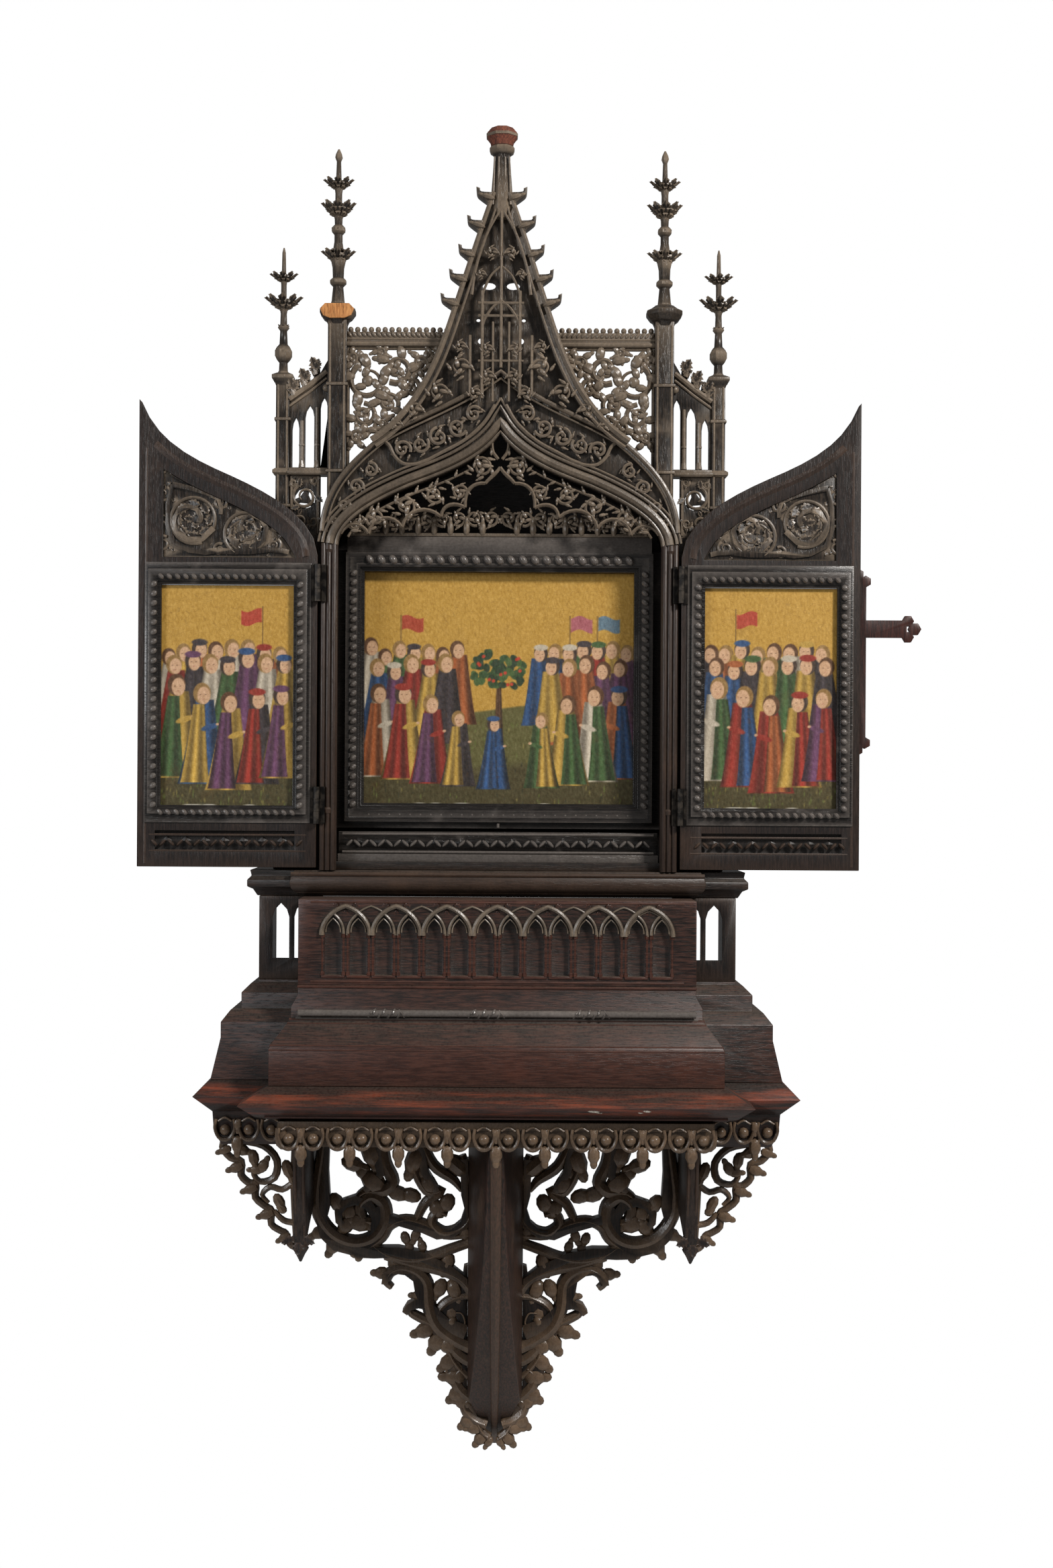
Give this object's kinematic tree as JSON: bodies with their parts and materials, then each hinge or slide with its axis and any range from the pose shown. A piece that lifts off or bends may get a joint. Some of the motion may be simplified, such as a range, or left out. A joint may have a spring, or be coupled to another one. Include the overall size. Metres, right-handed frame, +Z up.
{
  "type": "triptych altarpiece",
  "caption": "Wall-hung neo-Gothic carved oak triptych altarpiece with a pierced gable, painted centre, hinged painted wings, predella, shelf and openwork bracket.",
  "frame": {"origin": "on the back of the niche's back board, at the wall, on the centre line, 297 mm above the underside of the niche case", "axes": "+X to the viewer's right, +Y into the wall, +Z up; the front faces -Y and the wings lie open flat"},
  "size_m": [1.171, 0.294, 1.998],
  "materials": {
    "dark_oak": "dark-stained oak, waxed, worn to a dull sheen on edges",
    "dusty_oak": "dark-stained carved oak, greyed by dust on its upper edges",
    "worn_oak": "dark-stained oak worn to red-brown, with small losses on the front edge",
    "raw_oak": "bare broken oak",
    "painted_panel": "oil on a gilt and tooled ground, varnished, with fine crackle",
    "hinge_iron": "blackened iron",
    "cross_oak": "red-brown stained oak"
  },
  "bodies": {
    "case": {"arch_tracery": "dark_oak", "bracket_keel": "worn_oak", "centre_painting": "painted_panel", "drop_frieze": "dark_oak", "gable": "dusty_oak", "left_bracket_panel": "dusty_oak", "left_buttress_screen": "dusty_oak", "left_flank": "dark_oak", "left_gallery_panel": "dusty_oak", "left_gallery_rail": "dusty_oak", "left_hinge_case_leaf_lower": "hinge_iron", "left_hinge_case_leaf_upper": "hinge_iron", "left_inner_pinnacle": "dusty_oak", "left_outer_bracket": "dusty_oak", "left_outer_pinnacle": "dusty_oak", "left_post": "dark_oak", "left_predella_screen": "dark_oak", "left_side_fin": "dark_oak", "left_side_scroll_panel": "dusty_oak", "niche_case": "dark_oak", "niche_sill_frieze": "dark_oak", "ogee_arch": "dark_oak", "picture_frame": "dark_oak", "plinth": "worn_oak", "predella_front": "worn_oak", "ribbon_roll": "dark_oak", "right_bracket_panel": "dusty_oak", "right_buttress_screen": "dusty_oak", "right_flank": "dark_oak", "right_gallery_panel": "dusty_oak", "right_gallery_rail": "dusty_oak", "right_hinge_case_leaf_lower": "hinge_iron", "right_hinge_case_leaf_upper": "hinge_iron", "right_inner_pinnacle": "dusty_oak", "right_outer_bracket": "dusty_oak", "right_outer_pinnacle": "dusty_oak", "right_post": "dark_oak", "right_predella_screen": "dark_oak", "right_side_fin": "dark_oak", "right_side_scroll_panel": "dusty_oak", "shelf": "worn_oak", "sill": "dark_oak", "spandrel_carving": "dusty_oak", "spire_cap": "raw_oak", "vault_tracery": "dark_oak"},
    "left_wing": {"left_hinge_wing_leaf_lower": "hinge_iron", "left_hinge_wing_leaf_upper": "hinge_iron", "left_wing": "dark_oak", "left_wing_painting": "painted_panel", "left_wing_picture_frame": "dark_oak", "left_wing_tympanum": "dark_oak"},
    "right_wing": {"right_hinge_wing_leaf_lower": "hinge_iron", "right_hinge_wing_leaf_upper": "hinge_iron", "right_wing": "dark_oak", "right_wing_painting": "painted_panel", "right_wing_picture_frame": "dark_oak", "right_wing_tympanum": "dark_oak", "closing_cross": "cross_oak"}
  },
  "joints": [
    {"name": "left_wing_hinge", "type": "hinge", "parent": "case", "child": "left_wing", "pos_m": [-0.27, -0.158, 0], "axis": [0, 0, 1], "range_deg": [0, 180]},
    {"name": "right_wing_hinge", "type": "hinge", "parent": "case", "child": "right_wing", "pos_m": [0.27, -0.158, 0], "axis": [0, 0, -1], "range_deg": [0, 180]}
  ]
}
